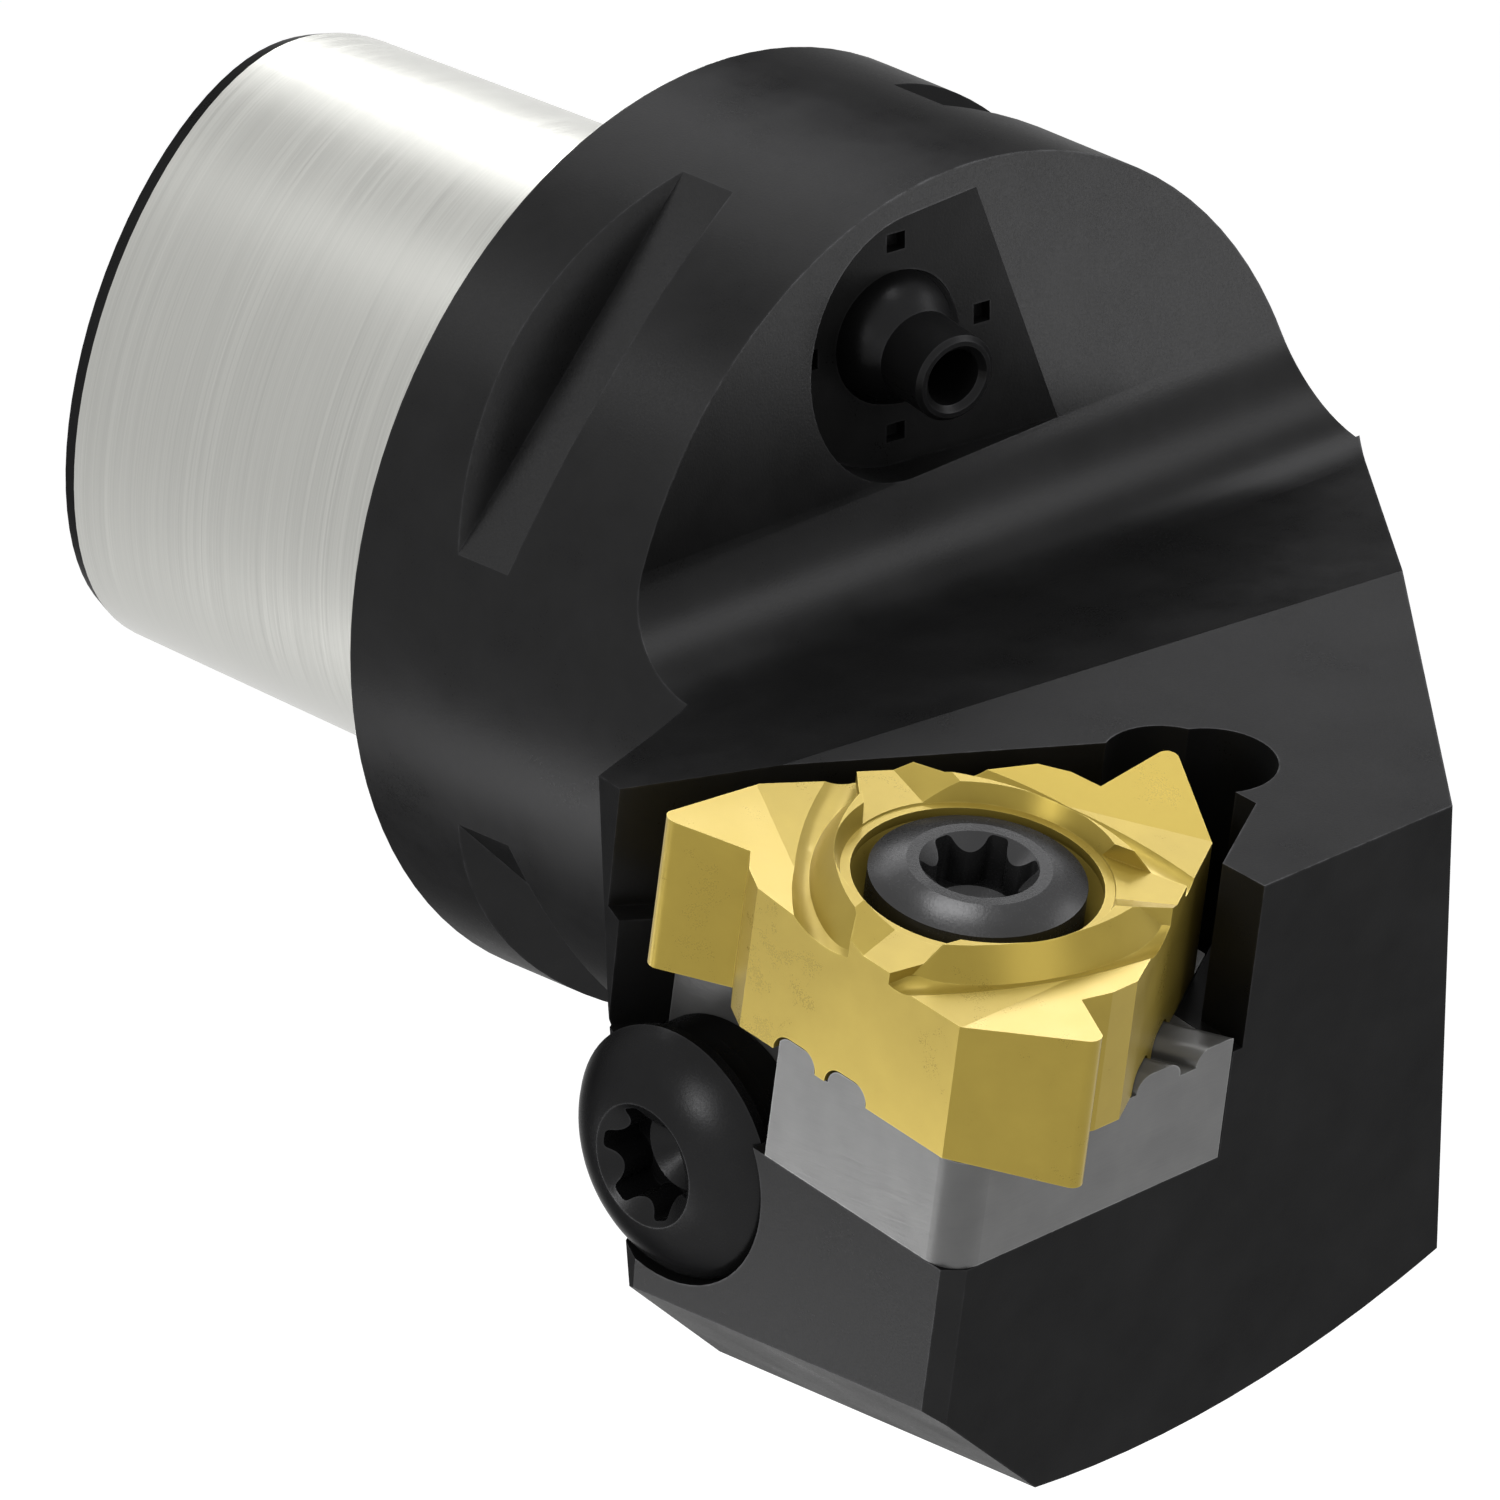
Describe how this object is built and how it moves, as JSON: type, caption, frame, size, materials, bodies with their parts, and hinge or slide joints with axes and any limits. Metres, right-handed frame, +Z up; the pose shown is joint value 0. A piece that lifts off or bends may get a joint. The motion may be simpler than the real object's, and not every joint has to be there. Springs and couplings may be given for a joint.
{
  "type": "threading tool holder",
  "caption": "Threading tool holder head with a lobed taper shank, offset three-cornered insert on a shim, clamp screws and a swivelling coolant nozzle.",
  "frame": {"origin": "on the coupling axis, in the plane of the flange's rear contact face", "axes": "+X along the coupling axis from the shank towards the cutting end, -Y towards the insert's side, +Z up, the side the insert's top faces"},
  "size_m": [0.074, 0.0511, 0.0425],
  "materials": {
    "blackened_steel": "satin black oxide, with a ground bright taper",
    "coated_carbide": "satin gold coating",
    "shim_carbide": "fine ground grey",
    "screw_steel": "satin dark",
    "nozzle_steel": "satin black"
  },
  "bodies": {
    "holder": {"head_body": "blackened_steel", "shim": "shim_carbide"},
    "insert": {"threading_insert": "coated_carbide"},
    "insert_screw": {"insert_screw": "screw_steel"},
    "side_screw": {"shim_screw": "screw_steel"},
    "nozzle": {"coolant_nozzle": "nozzle_steel"}
  },
  "joints": [
    {"name": "insert_rise", "type": "slide", "parent": "holder", "child": "insert", "axis": [0.1736, -0.0175, 0.9847], "range_m": [0, 0.006]},
    {"name": "insert_screw_turn", "type": "hinge", "parent": "insert", "child": "insert_screw", "pos_m": [0.03836, -0.02218, 0.0038], "axis": [0.1736, -0.0175, 0.9847], "range_deg": [0, 2700]},
    {"name": "side_screw_turn", "type": "hinge", "parent": "holder", "child": "side_screw", "pos_m": [0.02803, -0.03107, -0.00987], "axis": [-0.003, -0.9998, -0.0172], "range_deg": [0, 720]},
    {"name": "nozzle_tilt", "type": "hinge", "parent": "holder", "child": "nozzle", "pos_m": [0.01303, -0.00207, 0.0131], "axis": [0.1848, 0.9828, 0], "range_deg": [-12, 12]}
  ],
  "couplings": [
    {"joint": "insert_screw_turn", "follows": "insert_rise", "rad_per_m": 7854}
  ]
}
